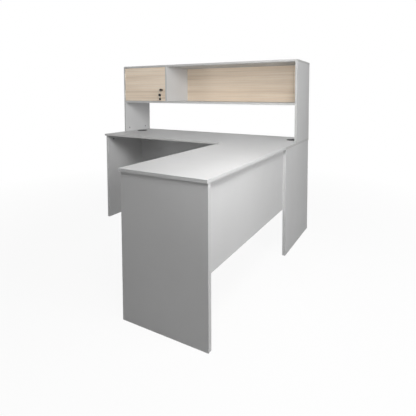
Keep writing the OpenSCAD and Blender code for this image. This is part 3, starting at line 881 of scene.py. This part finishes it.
# Share of pure white near the desk; it grows to 1 between the two distances from the middle
FLOOR_WHITE = 0.92
FADE_START = 1.0
FADE_STOP = 3.0
FLOOR_RADIUS = 14
FLOOR_SIDES = 96
# Clear of the panels' lower edges
FLOOR_DROP = 0.5 * MM
WORLD_LEVEL = 0.02


def fading_white():
    """Pale floor that takes shadows near the desk and turns pure white away from it."""
    look = Look("white studio floor", specular=0.1)
    tree = look.tree
    rays = tree.nodes.new("ShaderNodeLightPath")
    seen = look.combine("MAXIMUM", rays.outputs["Is Camera Ray"], rays.outputs["Is Glossy Ray"])
    look.colour(look.blend(seen, FLOOR_BOUNCE, FLOOR_SEEN))
    look.roughness(look.spread(look.noise(6), 0.8, 0.95))
    white = tree.nodes.new("ShaderNodeEmission")
    white.inputs["Color"].default_value = WHITE
    white.inputs["Strength"].default_value = 1.0
    away = tree.nodes.new("ShaderNodeVectorMath")
    away.operation = "LENGTH"
    look.link(look.place, away.inputs[0])
    share = look.spread(away.outputs["Value"], FLOOR_WHITE, 1, FADE_START, FADE_STOP)
    mixer = tree.nodes.new("ShaderNodeMixShader")
    look.link(look.combine("MULTIPLY", seen, share), mixer.inputs[0])
    look.link(look.shader.outputs[0], mixer.inputs[1])
    look.link(white.outputs[0], mixer.inputs[2])
    look.link(mixer.outputs[0], tree.nodes["Material Output"].inputs["Surface"])
    return look.material


def floor():
    """A plain white floor that fades into the backdrop and keeps a soft shadow under the desk."""
    bpy.ops.object.select_all(action="DESELECT")
    bpy.ops.mesh.primitive_circle_add(
        vertices=FLOOR_SIDES, radius=FLOOR_RADIUS, fill_type="NGON", location=(0, 0, -FLOOR_DROP))
    ground = bpy.context.object
    settle(ground)
    ground.name = "studio_floor"
    ground.data.materials.append(fading_white())


def backdrop():
    """White where it is seen or reflected, a soft even light elsewhere."""
    world = bpy.data.worlds.new("white studio")
    world.use_nodes = True
    bpy.context.scene.world = world
    tree = world.node_tree
    soft = tree.nodes["Background"]
    soft.inputs["Color"].default_value = WHITE
    soft.inputs["Strength"].default_value = WORLD_LEVEL
    seen_white = tree.nodes.new("ShaderNodeBackground")
    seen_white.inputs["Color"].default_value = WHITE
    seen_white.inputs["Strength"].default_value = 1.0
    rays = tree.nodes.new("ShaderNodeLightPath")
    seen = rays.outputs["Is Camera Ray"]
    for ray in ("Is Glossy Ray", "Is Transmission Ray"):
        either = tree.nodes.new("ShaderNodeMath")
        either.operation = "MAXIMUM"
        tree.links.new(seen, either.inputs[0])
        tree.links.new(rays.outputs[ray], either.inputs[1])
        seen = either.outputs[0]
    mixer = tree.nodes.new("ShaderNodeMixShader")
    tree.links.new(seen, mixer.inputs[0])
    tree.links.new(soft.outputs[0], mixer.inputs[1])
    tree.links.new(seen_white.outputs[0], mixer.inputs[2])
    tree.links.new(mixer.outputs[0], tree.nodes["World Output"].inputs["Surface"])


floor()


# Light

LAMPS = [
    # name, place, aim, width, watts
    ("window_near", (1.2, -0.66, 1.42), (-0.2, 0.4, 0.8), 0.45, 5.6),
    ("window_far", (3.0, -0.66, 1.63), (-0.2, 0.4, 0.8), 0.8, 25.0),
    ("window_farther", (4.5, -0.66, 1.63), (-0.2, 0.4, 0.8), 1.2, 8.5),
    ("high_front", (1.6, -1.5, 2.4), (0.4, -0.6, 0.6), 1.0, 22.5),
    ("right_side", (2.8, -1.6, 0.9), (0.8, -0.4, 0.6), 0.8, 4.1),
    ("front", (1.6, -3.6, 1.0), (0.3, -0.7, 0.5), 1.0, 2.6),
    ("hutch_right", (1.0, -1.3, 1.25), (0.3, 0.7, 1.1), 0.5, 1.4),
    ("hutch_middle", (0.35, -0.62, 1.19), (0.35, 0.7, 1.19), 0.5, 0.5),
    ("hutch_inside", (0.25, -0.35, 1.2), (0.25, 0.7, 1.2), 0.3, 1.1),
    ("hutch_left", (-0.9, -0.62, 1.19), (-0.3, 0.7, 1.19), 0.5, 0.8),
    ("through_bay", (0.6, 1.5, 0.95), (-0.83, 0.6, 0.88), 0.4, 3.0),
    ("left_end", (-0.9, -0.2, 1.3), (-0.7, 0.35, 0.75), 0.3, 0.85),
    ("overhead", (0.5, 0, 3.2), (0.3, 0, 0.7), 2.0, 3.9),
    ("left_side", (-2.2, -1.8, 1.0), (0, 0, 0.6), 1.0, 8.8),
    ("behind", (-1.6, 3.4, 0.35), (0, 0.5, 0.6), 0.7, 40),
]


def lamp(name, place, aim, width, watts):
    """A round soft lamp that lights the desk but isn't seen itself."""
    data = bpy.data.lights.new(name, "AREA")
    data.shape = "DISK"
    data.size = width
    data.energy = watts
    obj = bpy.data.objects.new(name, data)
    obj.location = place
    obj.rotation_euler = (Vector(aim) - Vector(place)).to_track_quat("-Z", "Y").to_euler()
    obj.visible_camera = False
    bpy.context.scene.collection.objects.link(obj)


for settings in LAMPS:
    lamp(*settings)

backdrop()
bpy.context.scene.view_settings.view_transform = "Standard"


# Camera, matched to the photograph's board edges

FRAME_PX = 416
FOCAL_PX = 330.417
CENTRE_PX = (251.262, 113.663)
CAMERA_PLACE = Vector((1.58596, -1.87558, 1.09591))
YAW, PITCH, ROLL = (math.radians(a) for a in (25.5615, -3.1604, 0.2245))
SENSOR_MM = 36
# Nothing in the scene lies farther away
VIEW_DEPTH = 60


def camera():
    """The photograph's lens, place and slight roll."""
    data = bpy.data.cameras.new("photo view")
    data.sensor_width = SENSOR_MM
    data.lens = FOCAL_PX / FRAME_PX * SENSOR_MM
    data.shift_x = (FRAME_PX / 2 - CENTRE_PX[0]) / FRAME_PX
    data.shift_y = (CENTRE_PX[1] - FRAME_PX / 2) / FRAME_PX
    data.clip_end = VIEW_DEPTH
    ahead = Vector((
        -math.sin(YAW) * math.cos(PITCH), math.cos(YAW) * math.cos(PITCH), math.sin(PITCH)))
    level = Vector((math.cos(YAW), math.sin(YAW), 0))
    upward = level.cross(ahead)
    right = math.cos(ROLL) * level + math.sin(ROLL) * upward
    above = -math.sin(ROLL) * level + math.cos(ROLL) * upward
    obj = bpy.data.objects.new("photo view", data)
    axes = Matrix((right, above, -ahead)).transposed().to_4x4()
    obj.matrix_world = Matrix.Translation(CAMERA_PLACE) @ axes
    bpy.context.scene.collection.objects.link(obj)
    bpy.context.scene.camera = obj


camera()
